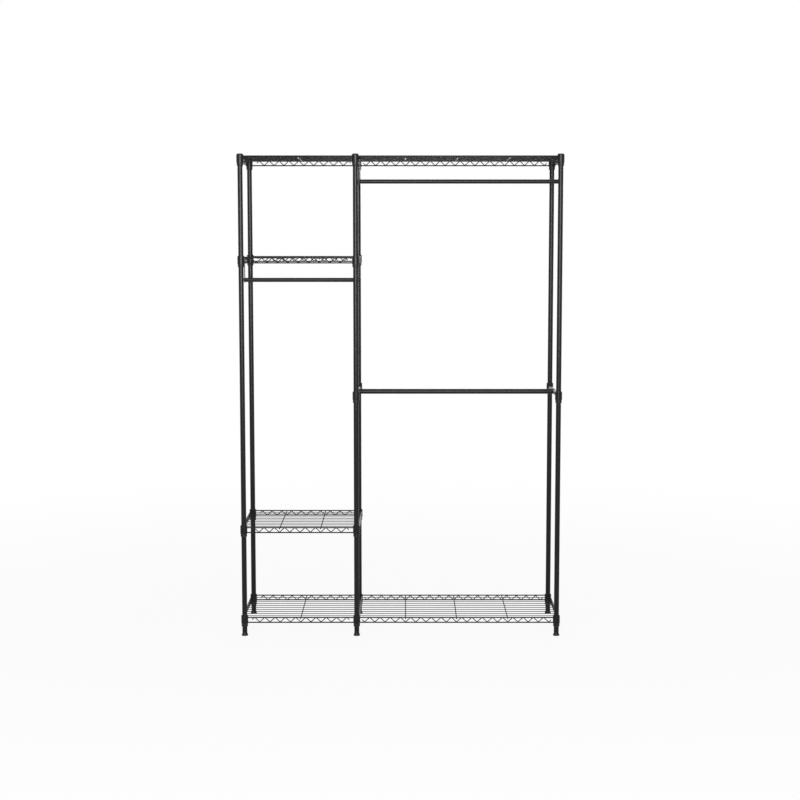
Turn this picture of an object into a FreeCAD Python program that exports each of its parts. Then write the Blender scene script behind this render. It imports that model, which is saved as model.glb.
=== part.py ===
import FreeCAD, Part
import math
import os
import Sketcher

# Open frame wardrobe of coated steel tube and wire, in millimetres, +Z up.
# The origin is on the floor under the middle of the frame, and the front faces -Y.
# Six two-piece posts carry two full-width wire shelves, two short wire shelves in the
# narrow left bay, a clothes rod under two of the shelves and a middle rod in the right bay.
# Each shelf corner is a tapered collar that wedges down on a split sleeve round the post.

driving = [
    ("bay_left", 422, "narrow bay, post centre to post centre"),
    ("bay_right", 752, "wide bay, post centre to post centre"),
    ("post_depth", 324, "front post centre to rear post centre"),
    ("post_od", 19, "post tube outside diameter"),
    ("post_wall", 1, "post tube wall"),
    ("post_lower", 886, "lower post section"),
    ("post_upper", 898, "upper post section"),
    ("groove_width", 2.4, "rolled groove that a sleeve's rib drops into"),
    ("groove_depth", 0.5, "depth of that groove"),
    ("joint_length", 60, "plug that joins two post sections"),
    ("joint_chamfer", 2, "lead-in on that plug"),
    ("tube_clear", 0.1, "radial clearance of a plug in a tube"),
    ("cap_rise", 2, "post cap above the tube"),
    ("cap_dia", 22.8, "post cap's rim, which overhangs the tube"),
    ("cap_rim", 0.8, "straight edge of that rim, under the dome"),
    ("cap_plug", 12, "cap's plug inside the tube"),
    ("cap_wall", 1.6, "wall of the cap's plug"),
    ("foot_height", 14, "floor to the bottom of the post"),
    ("foot_base_dia", 24.4, "foot on the floor"),
    ("foot_top_dia", 18.6, "foot under the post"),
    ("foot_lip", 2.4, "straight rim at the foot's base"),
    ("foot_edge", 1.2, "bevel round the foot's base"),
    ("foot_gap", 0.3, "foot to post when screwed right in"),
    ("stud_dia", 8, "levelling stud"),
    ("stud_length", 34, "levelling stud above the foot"),
    ("stud_root", 7, "levelling stud inside the foot"),
    ("stud_bevel", 1, "bevel at the levelling stud's tip"),
    ("insert_length", 22, "threaded bush in the bottom of the post"),
    ("thread_clear", 0.08, "radial clearance of the stud in its bush"),
    ("sleeve_clear", 0.1, "sleeve to post, and sleeve to collar"),
    ("sleeve_top_wall", 1.5, "sleeve wall at its thin upper end"),
    ("sleeve_low_wall", 2.3, "sleeve wall where it leaves the collar"),
    ("sleeve_above", 1.5, "sleeve standing above the collar"),
    ("sleeve_tail", 11, "sleeve showing below the collar"),
    ("sleeve_lip", 0.4, "rim round the sleeve's bottom end"),
    ("sleeve_lip_height", 2, "height of that rim"),
    ("sleeve_arc", 176, "degrees that one half sleeve covers"),
    ("rib_width", 2, "rib inside the sleeve"),
    ("rib_height", 0.5, "how far the rib stands in"),
    ("rib_rise", 3, "rib above the collar's bottom end"),
    ("collar_od", 26.5, "collar outside diameter"),
    ("collar_rise", 6, "collar above the upper edge wire's centre"),
    ("collar_drop", 5, "collar below the lower edge wire's centre"),
    ("top_gap", 0.5, "posts' top ends above the top shelf's sleeves"),
    ("second_drop", 370.5, "high left shelf below the top shelf"),
    ("third_rise", 343, "low left shelf above the bottom shelf"),
    ("bottom_rise", 56.5, "bottom shelf's upper edge wire above the posts' bottom ends"),
    ("truss_height", 18.5, "upper edge wire to lower edge wire, centres"),
    ("truss_offset", 8, "edge wires outside the line of post centres"),
    ("edge_wire", 4.8, "upper and lower edge wires"),
    ("zigzag_wire", 3.4, "wire bent to and fro between the edge wires"),
    ("zigzag_pitch", 38.5, "one bend of that wire to the next like it"),
    ("zigzag_margin", 26, "least room kept between that wire's bends and a post centre"),
    ("zigzag_seat", 1, "bend's centre from the edge wire's centre, long sides"),
    ("zigzag_end_seat", 5, "bend's centre from the edge wire's centre, short sides"),
    ("cross_wire", 4, "wires from front to back under the deck"),
    ("deck_wire", 2.6, "deck wires along the shelf"),
    ("deck_count", 10, "deck wires between the front and rear edge wires"),
    ("rod_drop", 86, "hung rod's centre below its shelf's upper edge wire"),
    ("rod_od", 16, "hung rod outside diameter"),
    ("rod_wall", 1, "hung rod wall"),
    ("plug_flange", 2.5, "rod plug's flange between rod and hanger"),
    ("plug_flange_dia", 17, "that flange's diameter"),
    ("plug_length", 20, "rod plug inside the rod"),
    ("plate_thick", 1.5, "hanger plate"),
    ("plate_width", 24, "hanger plate, front to back"),
    ("plate_clear", 0.1, "hanger plate to the edge wires"),
    ("plate_lip", 7, "hook's lip down the inside of the upper edge wire"),
    ("bolt_dia", 6, "bolts at the rods' ends"),
    ("bolt_clear", 0.2, "radial clearance round a bolt"),
    ("bolt_head_dia", 14, "wide bolt head"),
    ("bolt_head", 2.6, "bolt head's thickness"),
    ("bolt_reach", 14, "bolt inside the rod's plug"),
    ("rail_rise", 8, "middle rod and its side rails above the seam in the posts"),
    ("rail_od", 16, "side rail outside diameter"),
    ("rail_wall", 1, "side rail wall"),
    ("rail_collar_drop", 14, "collar below a side rail's centre"),
    ("mid_rod_od", 19, "middle rod outside diameter"),
    ("mid_rod_wall", 1, "middle rod wall"),
    ("saddle_length", 9, "saddle between the rail's centre line and the rod's end"),
    ("saddle_wrap", 4, "saddle past the rail's centre line, so that it snaps on"),
    ("overrun", 2, "how far a cut runs past the face it cuts"),
]

stub_share = 0.5
wire_sides = 6

doc = FreeCAD.newDocument("wardrobe")
sheet = doc.addObject("Spreadsheet::Sheet", "Sizes")
for line, (alias, number, note) in enumerate(driving, start=1):
    sheet.set("A%d" % line, note)
    sheet.set("B%d" % line, str(number))
    sheet.setAlias("B%d" % line, alias)
doc.recompute()

up = FreeCAD.Vector(0, 0, 1)
along_x = FreeCAD.Rotation(FreeCAD.Vector(0, 1, 0), 90)
along_y = FreeCAD.Rotation(FreeCAD.Vector(1, 0, 0), -90)
nodes = []


def size(alias):
    return float(sheet.get(alias))


# Post lines as expressions, and as numbers for the shapes that are worked out in code.
x_lines = {
    "left": "(-(Sizes.bay_left + Sizes.bay_right) / 2)",
    "mid": "((Sizes.bay_left - Sizes.bay_right) / 2)",
    "right": "((Sizes.bay_left + Sizes.bay_right) / 2)",
}
y_lines = {"front": "(-Sizes.post_depth / 2)", "rear": "(Sizes.post_depth / 2)"}
x_of = {
    "left": -(size("bay_left") + size("bay_right")) / 2,
    "mid": (size("bay_left") - size("bay_right")) / 2,
    "right": (size("bay_left") + size("bay_right")) / 2,
}
y_of = {"front": -size("post_depth") / 2, "rear": size("post_depth") / 2}
joint_z = "(Sizes.foot_height + Sizes.post_lower)"
post_top_z = "(%s + Sizes.post_upper)" % joint_z
rail_z = "(%s + Sizes.rail_rise)" % joint_z
top_z = "(%s - Sizes.top_gap - Sizes.sleeve_above - Sizes.collar_rise)" % post_top_z
level_z = {
    "top": top_z,
    "second": "(%s - Sizes.second_drop)" % top_z,
    "third": "(Sizes.foot_height + Sizes.bottom_rise + Sizes.third_rise)",
    "bottom": "(Sizes.foot_height + Sizes.bottom_rise)",
}
joint_of = size("foot_height") + size("post_lower")
post_top_of = joint_of + size("post_upper")
rail_of = joint_of + size("rail_rise")
top_of = post_top_of - size("top_gap") - size("sleeve_above") - size("collar_rise")
level_of = {
    "top": top_of,
    "second": top_of - size("second_drop"),
    "third": size("foot_height") + size("bottom_rise") + size("third_rise"),
    "bottom": size("foot_height") + size("bottom_rise"),
}
post_places = [(row, column) for row in ("front", "rear") for column in ("left", "mid", "right")]
truss_y = size("post_depth") / 2 + size("truss_offset")
collar_height = "(Sizes.collar_rise + Sizes.truss_height + Sizes.collar_drop)"


def bind(item, sizes):
    for name, expression in sizes.items():
        item.setExpression(name, expression)
    return item


def place(item, x=None, y=None, z=None, turn=None):
    if turn is not None:
        item.Placement = FreeCAD.Placement(FreeCAD.Vector(), turn)
    for axis, expression in (("x", x), ("y", y), ("z", z)):
        if expression is not None:
            item.setExpression("Placement.Base." + axis, expression)
    return item


def node(item, label):
    item.Label = label
    nodes.append(item)
    return item


def cylinder(name, radius, height, **where):
    item = doc.addObject("Part::Cylinder", name)
    bind(item, {"Radius": radius, "Height": height})
    return place(item, **where)


def cut(name, base, tool):
    item = doc.addObject("Part::Cut", name)
    item.Base = base
    item.Tool = tool
    return item


def compound(name, items):
    group = doc.addObject("Part::Compound", name)
    group.Links = items
    return group


def tube(name, od, wall, length, **where):
    # An outer cylinder less its bore, both the full length of the tube.
    outer = cylinder(name + "_outside", od + " / 2", length, **where)
    bore = cylinder(name + "_bore", "%s / 2 - %s" % (od, wall), length, **where)
    return cut(name + "_tube", outer, bore)


def wire(name, diameter, length, turn, roll, **where):
    # A straight wire with six flats, as wide across them as the wire is thick.
    item = doc.addObject("Part::Prism", name)
    item.Polygon = wire_sides
    bind(item, {"Circumradius": diameter + " / sqrt(3)", "Height": length})
    return place(item, turn=turn.multiply(FreeCAD.Rotation(up, roll)), **where)


def turned(name, outline, angle=None):
    # A body turned round its own Z axis; outline is pairs of radius and height.
    body = doc.addObject("PartDesign::Body", name)
    plane = [item for item in body.Origin.OriginFeatures if item.Role == "XZ_Plane"][0]
    sketch = body.newObject("Sketcher::SketchObject", name + "_outline")
    sketch.AttachmentSupport = [(plane, "")]
    sketch.MapMode = "FlatFace"
    count = len(outline)
    start = [
        FreeCAD.Vector(math.cos(2 * math.pi * step / count), math.sin(2 * math.pi * step / count), 0)
        for step in range(count)
    ]
    for step in range(count):
        sketch.addGeometry(Part.LineSegment(start[step], start[(step + 1) % count]))
    for step in range(count):
        sketch.addConstraint(Sketcher.Constraint("Coincident", step, 2, (step + 1) % count, 1))
    for step, (radius, height) in enumerate(outline):
        for kind, expression, now in (
            ("DistanceX", radius, start[step].x),
            ("DistanceY", height, start[step].y),
        ):
            index = sketch.addConstraint(Sketcher.Constraint(kind, -1, 1, step, 1, now))
            sketch.setExpression("Constraints[%d]" % index, expression)
    turn = body.newObject("PartDesign::Revolution", name + "_turn")
    turn.Profile = sketch
    turn.ReferenceAxis = (sketch, ["V_Axis"])
    if angle is not None:
        turn.Midplane = True
        turn.setExpression("Angle", angle)
    return body


def repeated(label, master, places):
    # One node of separate, identical solids, copied from a finished piece.
    shapes = []
    for placement in places:
        shape = master.Shape.copy()
        shape.Placement = placement.multiply(shape.Placement)
        shapes.append(shape)
    item = doc.addObject("Part::Feature", label)
    item.Shape = Part.makeCompound(shapes)
    return node(item, label)


def at(x, y, z, turn=0):
    return FreeCAD.Placement(FreeCAD.Vector(x, y, z), FreeCAD.Rotation(up, turn))


# Levels: what stands at each height, and which posts it holds.
shelf_columns = {
    "top": ("left", "mid", "right"),
    "second": ("left", "mid"),
    "third": ("left", "mid"),
    "bottom": ("left", "mid", "right"),
}
rail_columns = ("mid", "right")
outward = {"left": -1, "mid": 1, "right": 1}  # side of the posts that a short truss stands on
collar_bottoms = {
    level: "(%s - Sizes.truss_height - Sizes.collar_drop)" % level_z[level]
    for level in shelf_columns
}
collar_bottoms["rail"] = "(%s - Sizes.rail_collar_drop)" % rail_z
bottom_of = {
    level: level_of[level] - size("truss_height") - size("collar_drop")
    for level in shelf_columns
}
bottom_of["rail"] = rail_of - size("rail_collar_drop")
level_columns = dict(shelf_columns, rail=rail_columns)


def groove_heights(column, low, high):
    # Grooves between two heights of one post, lowest first, one for each sleeve there.
    found = []
    for level, columns in level_columns.items():
        middle = bottom_of[level] + size("rib_rise")
        if column in columns and low < middle < high:
            found.append((middle, "(%s + Sizes.rib_rise)" % collar_bottoms[level]))
    return [expression for middle, expression in sorted(found)]


def post_section(row, column, part, low, high, low_z, high_z):
    outside = "Sizes.post_od / 2"
    inside = "Sizes.post_od / 2 - Sizes.post_wall"
    floor = "Sizes.post_od / 2 - Sizes.groove_depth"
    outline = [(inside, low), (outside, low)]
    for middle in groove_heights(column, low_z, high_z):
        below = "%s - Sizes.groove_width / 2" % middle
        above = "%s + Sizes.groove_width / 2" % middle
        outline += [(outside, below), (floor, below), (floor, above), (outside, above)]
    outline += [(outside, high), (inside, high)]
    label = "post_%s_%s_%s" % (row, column, part)
    body = turned(label, outline)
    place(body, x=x_lines[column], y=y_lines[row])
    node(body, label)


def posts():
    for row, column in post_places:
        post_section(row, column, "lower", "Sizes.foot_height", joint_z,
                     size("foot_height"), joint_of)
        post_section(row, column, "upper", joint_z, post_top_z, joint_of, post_top_of)


def post_fittings():
    # Joint plugs, foot bushes and low domed caps, one of each in every post.
    fit = "Sizes.post_od / 2 - Sizes.post_wall - Sizes.tube_clear"
    half = "Sizes.joint_length / 2"
    taper = "%s - Sizes.joint_chamfer" % fit
    plug = turned("joint_plug", [
        ("0", "-%s" % half),
        (taper, "-%s" % half),
        (fit, "-%s + Sizes.joint_chamfer" % half),
        (fit, "%s - Sizes.joint_chamfer" % half),
        (taper, half),
        ("0", half),
    ])
    thread = "Sizes.stud_dia / 2 + Sizes.thread_clear"
    bush = turned("foot_bush", [
        (thread, "0"), (fit, "0"), (fit, "Sizes.insert_length"), (thread, "Sizes.insert_length"),
    ])
    rim = "Sizes.cap_dia / 2"
    crown = "(Sizes.cap_rise - Sizes.cap_rim)"
    dome_radius = "((%s)^2 + %s^2) / (2 * %s)" % (rim, crown, crown)
    ball = doc.addObject("Part::Sphere", "cap_ball")
    bind(ball, {"Radius": dome_radius})
    place(ball, z="Sizes.cap_rise - %s" % dome_radius)
    dome = doc.addObject("Part::Common", "cap_dome")
    dome.Base = ball
    dome.Tool = cylinder("cap_rim", rim, "Sizes.cap_rise")
    skirt = cut("cap_skirt",
                cylinder("cap_skirt_outside", fit, "Sizes.cap_plug", z="-Sizes.cap_plug"),
                cylinder("cap_skirt_bore", "%s - Sizes.cap_wall" % fit,
                         "Sizes.cap_plug", z="-Sizes.cap_plug"))
    cap = doc.addObject("Part::Fuse", "cap")
    cap.Base = dome
    cap.Tool = skirt
    doc.recompute()
    spots = [(x_of[column], y_of[row]) for row, column in post_places]
    repeated("post_joint_plugs", plug, [at(x, y, joint_of) for x, y in spots])
    repeated("foot_bushes", bush, [at(x, y, size("foot_height")) for x, y in spots])
    repeated("post_caps", cap, [at(x, y, post_top_of) for x, y in spots])


def feet():
    # A flared foot screwed right in under each post, and the levelling stud moulded into it.
    crown = "(Sizes.foot_height - Sizes.foot_gap)"
    base = "Sizes.foot_base_dia / 2"
    stud = "Sizes.stud_dia / 2"
    root = "%s - Sizes.stud_root" % crown
    tip = "%s + Sizes.stud_length" % crown
    for row, column in post_places:
        pad_label = "foot_pad_%s_%s" % (row, column)
        pad = turned(pad_label, [
            ("0", "0"),
            ("%s - Sizes.foot_edge" % base, "0"),
            (base, "Sizes.foot_edge"),
            (base, "Sizes.foot_lip + Sizes.foot_edge"),
            ("Sizes.foot_top_dia / 2", crown),
            (stud, crown),
            (stud, root),
            ("0", root),
        ])
        place(pad, x=x_lines[column], y=y_lines[row])
        node(pad, pad_label)
        stud_label = "foot_stud_%s_%s" % (row, column)
        screw = turned(stud_label, [
            ("0", root),
            (stud, root),
            (stud, "%s - Sizes.stud_bevel" % tip),
            ("%s - Sizes.stud_bevel" % stud, tip),
            ("0", tip),
        ])
        place(screw, x=x_lines[column], y=y_lines[row])
        node(screw, stud_label)


def sleeves():
    # Half a split sleeve, from the collar's bottom end as zero; two go round each post.
    bore = "Sizes.post_od / 2 + Sizes.sleeve_clear"
    waist = "%s + Sizes.sleeve_low_wall" % bore
    crest = "%s + Sizes.sleeve_top_wall" % bore
    tip = "%s - Sizes.rib_height" % bore
    top = "%s + Sizes.sleeve_above" % collar_height
    half = turned("sleeve_half", [
        (bore, "-Sizes.sleeve_tail"),
        ("%s + Sizes.sleeve_lip" % waist, "-Sizes.sleeve_tail"),
        ("%s + Sizes.sleeve_lip" % waist, "-Sizes.sleeve_tail + Sizes.sleeve_lip_height"),
        (waist, "-Sizes.sleeve_tail + Sizes.sleeve_lip_height"),
        (waist, "0"),
        (crest, collar_height),
        (crest, top),
        (bore, top),
        (bore, "Sizes.rib_rise + Sizes.rib_width / 2"),
        (tip, "Sizes.rib_rise + Sizes.rib_width / 2"),
        (tip, "Sizes.rib_rise - Sizes.rib_width / 2"),
        (bore, "Sizes.rib_rise - Sizes.rib_width / 2"),
    ], angle="Sizes.sleeve_arc")
    doc.recompute()
    for level, columns in level_columns.items():
        spots = [
            at(x_of[column], y_of[row], bottom_of[level], turn)
            for row in ("front", "rear") for column in columns for turn in (90, 270)
        ]
        repeated(level + "_sleeves", half, spots)


def collar_core(name, row, column, bottom, height):
    return cylinder(name, "Sizes.collar_od / 2", height,
                    x=x_lines[column], y=y_lines[row], z=bottom)


def collar(name, row, column, bottom, height):
    # The collar's bore tapers with the sleeve that it wedges on.
    core = collar_core(name + "_outside", row, column, bottom, height)
    bore = doc.addObject("Part::Cone", name + "_taper")
    gap = "Sizes.post_od / 2 + 2 * Sizes.sleeve_clear"
    bind(bore, {
        "Radius1": gap + " + Sizes.sleeve_low_wall",
        "Radius2": gap + " + Sizes.sleeve_top_wall",
        "Height": height,
    })
    place(bore, x=x_lines[column], y=y_lines[row], z=bottom)
    return cut(name, core, bore)


def zigzag(name, count, high_first, low_z, high_z, middle, across, direction):
    # A wire bent to and fro in one upright plane, with half a leg left over at each end.
    # Every bend is mitred in an upright plane, so one section carried from bend to bend,
    # alternately high and low, gives the whole wire.
    half_pitch = size("zigzag_pitch") / 2
    rise = high_z - low_z
    stretch = math.hypot(half_pitch, rise) / half_pitch
    flat = size("zigzag_wire") / 2
    corner = size("zigzag_wire") / math.sqrt(3) * stretch
    section = [(0, corner), (flat, corner / 2), (flat, -corner / 2),
               (0, -corner), (-flat, -corner / 2), (-flat, corner / 2)]
    centre_z = (low_z + high_z) / 2
    bends = []
    for step in range(2 * count + 1):
        high = (step % 2 == 0) == high_first
        bends.append(((step - count) * half_pitch, high_z if high else low_z))
    first = bends[0]
    last = bends[-1]
    reach = half_pitch * stub_share
    drop = rise * stub_share * (1 if high_first else -1)
    bends = [(first[0] - reach, first[1] - drop)] + bends + [(last[0] + reach, last[1] - drop)]
    profiles = []
    for run, z in bends:
        points = []
        for side, lift in section:
            if direction == "x":
                points.append(FreeCAD.Vector(middle + run, across + side, z + lift))
            else:
                points.append(FreeCAD.Vector(across + side, middle + run, z + lift))
        profiles.append(Part.makePolygon(points + points[:1]))
    item = doc.addObject("Part::Feature", name)
    item.Shape = Part.makeLoft(profiles, True, True)
    return item


def bend_count(span):
    return int((span - 2 * size("zigzag_margin")) // size("zigzag_pitch"))


def truss_wires(name, z, cores, runs):
    # Upper and lower edge wires along the given runs, cut back to the collars they meet.
    wires = []
    heights = {"upper": z, "lower": "%s - Sizes.truss_height" % z}
    for number, run in enumerate(runs):
        for height, expression in heights.items():
            wires.append(wire("%s_%s_%d" % (name, height, number), "Sizes.edge_wire",
                              run["length"], run["turn"], run["roll"],
                              x=run["x"], y=run["y"], z=expression))
    return cut(name + "_edges", compound(name + "_wires", wires), cores)


def shelf(level):
    z = level_z[level]
    columns = shelf_columns[level]
    name = level + "_shelf"
    z_high = level_of[level]
    z_low = z_high - size("truss_height")
    spots = [(row, column) for row in ("front", "rear") for column in columns]
    collars = [
        collar("%s_collar_%s_%s" % (name, row, column), row, column,
               collar_bottoms[level], collar_height)
        for row, column in spots
    ]
    node(compound(name + "_collars", collars), name + "_collars")
    cores = compound(name + "_cores", [
        collar_core("%s_core_%s_%s" % (name, row, column), row, column,
                    collar_bottoms[level], collar_height)
        for row, column in spots
    ])
    bays = list(zip(columns[:-1], columns[1:]))
    spans = {"left": "Sizes.bay_left", "mid": "Sizes.bay_right"}
    seat = size("zigzag_seat")
    inset = (size("edge_wire") + size("zigzag_wire")) / 2
    label = name + "_long_trusses"
    runs = []
    bends = []
    for row, side in (("front", -1), ("rear", 1)):
        for start, end in bays:
            runs.append({
                "x": x_lines[start], "length": spans[start], "turn": along_x, "roll": 0,
                "y": "%d * (Sizes.post_depth / 2 + Sizes.truss_offset)" % side,
            })
            count = bend_count(x_of[end] - x_of[start])
            bends.append(zigzag("%s_zigzag_%s_%s" % (label, row, start), count, count % 2 == 1,
                                z_low + seat, z_high - seat, (x_of[start] + x_of[end]) / 2,
                                side * (truss_y - inset), "x"))
    node(compound(label, [truss_wires(label, z, cores, runs)] + bends), label)
    label = name + "_end_trusses"
    runs = [{
        "x": "%s + %d * Sizes.truss_offset" % (x_lines[column], outward[column]),
        "y": y_lines["front"], "length": "Sizes.post_depth", "turn": along_y, "roll": 30,
    } for column in columns]
    items = [truss_wires(label, z, cores, runs)]
    count = bend_count(size("post_depth"))
    end_seat = size("zigzag_end_seat")
    for column in columns:
        items.append(zigzag("%s_zigzag_%s" % (label, column), count, True, z_low + end_seat,
                            z_high - end_seat, 0,
                            x_of[column] + outward[column] * size("truss_offset"), "y"))
    node(compound(label, items), label)
    deck(level, z, bays)


def cross_steps(bays, start, end):
    # Front-to-back wires stand on low bends, counted in pitches from the bay's middle.
    span = x_of[end] - x_of[start]
    if len(bays) == 1:
        step = round(span / 6 / size("zigzag_pitch"))
        return (-step, step)
    if start == "left":
        return (0,)
    step = round(span / 4 / size("zigzag_pitch"))
    return (-step, 0, step)


def deck(level, z, bays):
    # Front-to-back wires hang under the edge wires, and the deck wires lie on top of them.
    name = level + "_shelf_deck"
    under = "%s - Sizes.edge_wire / sqrt(3)" % z
    half = "(Sizes.post_depth / 2 + Sizes.truss_offset)"
    wires = []
    for start, end in bays:
        middle = "(%s + %s) / 2" % (x_lines[start], x_lines[end])
        for number, step in enumerate(cross_steps(bays, start, end)):
            wires.append(wire("%s_cross_%s_%d" % (name, start, number), "Sizes.cross_wire",
                              "2 * %s + Sizes.edge_wire" % half, along_y, 0,
                              x="%s + %d * Sizes.zigzag_pitch" % (middle, step),
                              y="-%s - Sizes.edge_wire / 2" % half,
                              z="%s - Sizes.cross_wire / 2" % under))
        first = "(%s + %d * Sizes.truss_offset + Sizes.edge_wire / 2)" % (x_lines[start], outward[start])
        last = "(%s + %d * Sizes.truss_offset - Sizes.edge_wire / 2)" % (x_lines[end], outward[end])
        for number in range(1, int(size("deck_count")) + 1):
            wires.append(wire("%s_wire_%s_%d" % (name, start, number), "Sizes.deck_wire",
                              "%s - %s" % (last, first), along_x, 30, x=first,
                              y="-%s + %d * 2 * %s / (Sizes.deck_count + 1)" % (half, number, half),
                              z="%s + Sizes.deck_wire / 2" % under))
    node(compound(name, wires), name)


def bolt(name, reach):
    # A wide-headed bolt along +X, with the underside of its head at zero.
    head = cylinder(name + "_head", "Sizes.bolt_head_dia / 2", "Sizes.bolt_head",
                    x="-Sizes.bolt_head", turn=along_x)
    shank = cylinder(name + "_shank", "Sizes.bolt_dia / 2", reach, turn=along_x)
    item = doc.addObject("Part::Fuse", name)
    item.Base = head
    item.Tool = shank
    return item


def rod_plug(name, od, wall, head, head_dia):
    # A plug along +X with its head before zero and its body in the rod, bored for the bolt.
    body = cylinder(name + "_body", "%s / 2 - %s - Sizes.tube_clear" % (od, wall),
                    "Sizes.plug_length", turn=along_x)
    flange = cylinder(name + "_flange", head_dia + " / 2", head, x="-" + head, turn=along_x)
    whole = doc.addObject("Part::Fuse", name + "_whole")
    whole.Base = body
    whole.Tool = flange
    bore = cylinder(name + "_bore", "Sizes.bolt_dia / 2 + Sizes.bolt_clear",
                    "%s + Sizes.plug_length + 2 * Sizes.overrun" % head,
                    x="-%s - Sizes.overrun" % head, turn=along_x)
    return cut(name, whole, bore)


def hanger_plate():
    # A strap along Z with a hook at the top, drawn from the side that faces the edge wires.
    # Zero is the centre of the upper edge wire, and the strap stands on its +X side.
    inner = "Sizes.edge_wire / 2 + Sizes.plate_clear"
    outer = "(%s + Sizes.plate_thick)" % inner
    seat = "Sizes.edge_wire / sqrt(3)"
    half = "Sizes.plate_width / 2"

    def slab(name, length, height, x, z):
        item = doc.addObject("Part::Box", name)
        bind(item, {"Length": length, "Width": "Sizes.plate_width", "Height": height})
        return place(item, x=x, y="-" + half, z=z)

    strap = slab("hanger_strap", "Sizes.plate_thick", "Sizes.rod_drop + %s" % seat,
                 inner, "-Sizes.rod_drop")
    roof = slab("hanger_roof", "2 * %s" % outer, "Sizes.plate_thick", "-%s" % outer, seat)
    lip = slab("hanger_lip", "Sizes.plate_thick", "Sizes.plate_lip",
               "-%s" % outer, "%s - Sizes.plate_lip" % seat)
    tongue = cylinder("hanger_tongue", half, "Sizes.plate_thick",
                      x=inner, z="-Sizes.rod_drop", turn=along_x)
    whole = doc.addObject("Part::MultiFuse", "hanger_whole")
    whole.Shapes = [strap, roof, lip, tongue]
    hole = cylinder("hanger_hole", "Sizes.bolt_dia / 2 + Sizes.bolt_clear",
                    "Sizes.plate_thick + 2 * Sizes.overrun",
                    x="%s - Sizes.overrun" % inner, z="-Sizes.rod_drop", turn=along_x)
    return cut("hanger", whole, hole)


def hung_rods():
    # A rod between two hangers hooked on the shelf's trusses, each on its truss's right side.
    rods = {"left_rod": ("second", "left", "mid"), "right_rod": ("top", "mid", "right")}
    grip = "(Sizes.edge_wire / 2 + Sizes.plate_clear)"
    clear = size("edge_wire") / 2 + size("plate_clear")
    plate = hanger_plate()
    plug = rod_plug("hung_plug", "Sizes.rod_od", "Sizes.rod_wall",
                    "Sizes.plug_flange", "Sizes.plug_flange_dia")
    screw = bolt("hung_bolt", "Sizes.plate_thick + Sizes.plug_flange + Sizes.bolt_reach")
    doc.recompute()
    plates, plugs, screws = [], [], []
    for label, (level, start, end) in rods.items():
        truss_x = [x_of[side] + outward[side] * size("truss_offset") for side in (start, end)]
        near, far = [
            "(%s + %d * Sizes.truss_offset + %s)" % (x_lines[side], outward[side], grip)
            for side in (start, end)
        ]
        rod = tube(label, "Sizes.rod_od", "Sizes.rod_wall",
                   "%s - %s - Sizes.plate_thick - 2 * Sizes.plug_flange" % (far, near),
                   x="%s + Sizes.plate_thick + Sizes.plug_flange" % near,
                   z="%s - Sizes.rod_drop" % level_z[level], turn=along_x)
        node(rod, label)
        height = level_of[level] - size("rod_drop")
        start_x, end_x = truss_x[0] + clear, truss_x[1] + clear
        plates += [at(x, 0, level_of[level]) for x in truss_x]
        plugs.append(at(start_x + size("plate_thick") + size("plug_flange"), 0, height))
        plugs.append(at(end_x - size("plug_flange"), 0, height, 180))
        screws.append(at(start_x, 0, height))
        screws.append(at(end_x + size("plate_thick"), 0, height, 180))
    repeated("rod_hangers", plate, plates)
    repeated("hung_rod_plugs", plug, plugs)
    repeated("hung_rod_bolts", screw, screws)


def middle_rod():
    # Two side rails between post collars, and the rod that is bolted between them.
    for column in rail_columns:
        label = "rail_%s" % column
        collars = [
            collar("%s_collar_%s" % (label, row), row, column,
                   collar_bottoms["rail"], collar_height)
            for row in ("front", "rear")
        ]
        cores = compound(label + "_cores", [
            collar_core("%s_core_%s" % (label, row), row, column,
                        collar_bottoms["rail"], collar_height)
            for row in ("front", "rear")
        ])
        bar = tube(label + "_bar", "Sizes.rail_od", "Sizes.rail_wall", "Sizes.post_depth",
                   x=x_lines[column], y=y_lines["front"], z=rail_z, turn=along_y)
        hole = cylinder(label + "_hole", "Sizes.bolt_dia / 2 + Sizes.bolt_clear",
                        "Sizes.rail_od + 2 * Sizes.overrun", turn=along_x,
                        x="%s - Sizes.rail_od / 2 - Sizes.overrun" % x_lines[column],
                        z=rail_z)
        drilled = cut(label + "_drilled", cut(label + "_trimmed", bar, cores), hole)
        node(compound(label, [drilled] + collars), label)
    rod = tube("middle_rod", "Sizes.mid_rod_od", "Sizes.mid_rod_wall",
               "Sizes.bay_right - 2 * Sizes.saddle_length",
               x="%s + Sizes.saddle_length" % x_lines["mid"], z=rail_z, turn=along_x)
    node(rod, "middle_rod")
    plug = rod_plug("saddle_plug", "Sizes.mid_rod_od", "Sizes.mid_rod_wall",
                    "(Sizes.saddle_length + Sizes.saddle_wrap)", "Sizes.mid_rod_od")
    rail = cylinder("saddle_rail", "Sizes.rail_od / 2 + Sizes.plate_clear", "2 * Sizes.mid_rod_od",
                    x="-Sizes.saddle_length", y="-Sizes.mid_rod_od", turn=along_y)
    saddle = cut("saddle", plug, rail)
    screw = bolt("rail_bolt", "Sizes.rail_od + Sizes.bolt_reach")
    doc.recompute()
    start = x_of["mid"]
    end = x_of["right"]
    height = rail_of
    reach = size("saddle_length")
    half = size("rail_od") / 2
    repeated("middle_rod_saddles", saddle,
             [at(start + reach, 0, height), at(end - reach, 0, height, 180)])
    repeated("middle_rod_bolts", screw,
             [at(start - half, 0, height), at(end + half, 0, height, 180)])


posts()
post_fittings()
feet()
sleeves()
for level in shelf_columns:
    shelf(level)
hung_rods()
middle_rod()
doc.recompute()

for item in doc.Objects:
    if "Invalid" in item.State or "Error" in item.State:
        raise RuntimeError("%s did not build: %s" % (item.Label, item.State))
for item in nodes:
    if item.Shape.isNull() or not item.Shape.isValid() or not item.Shape.Solids:
        raise RuntimeError("%s has no sound solid" % item.Label)

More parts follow.
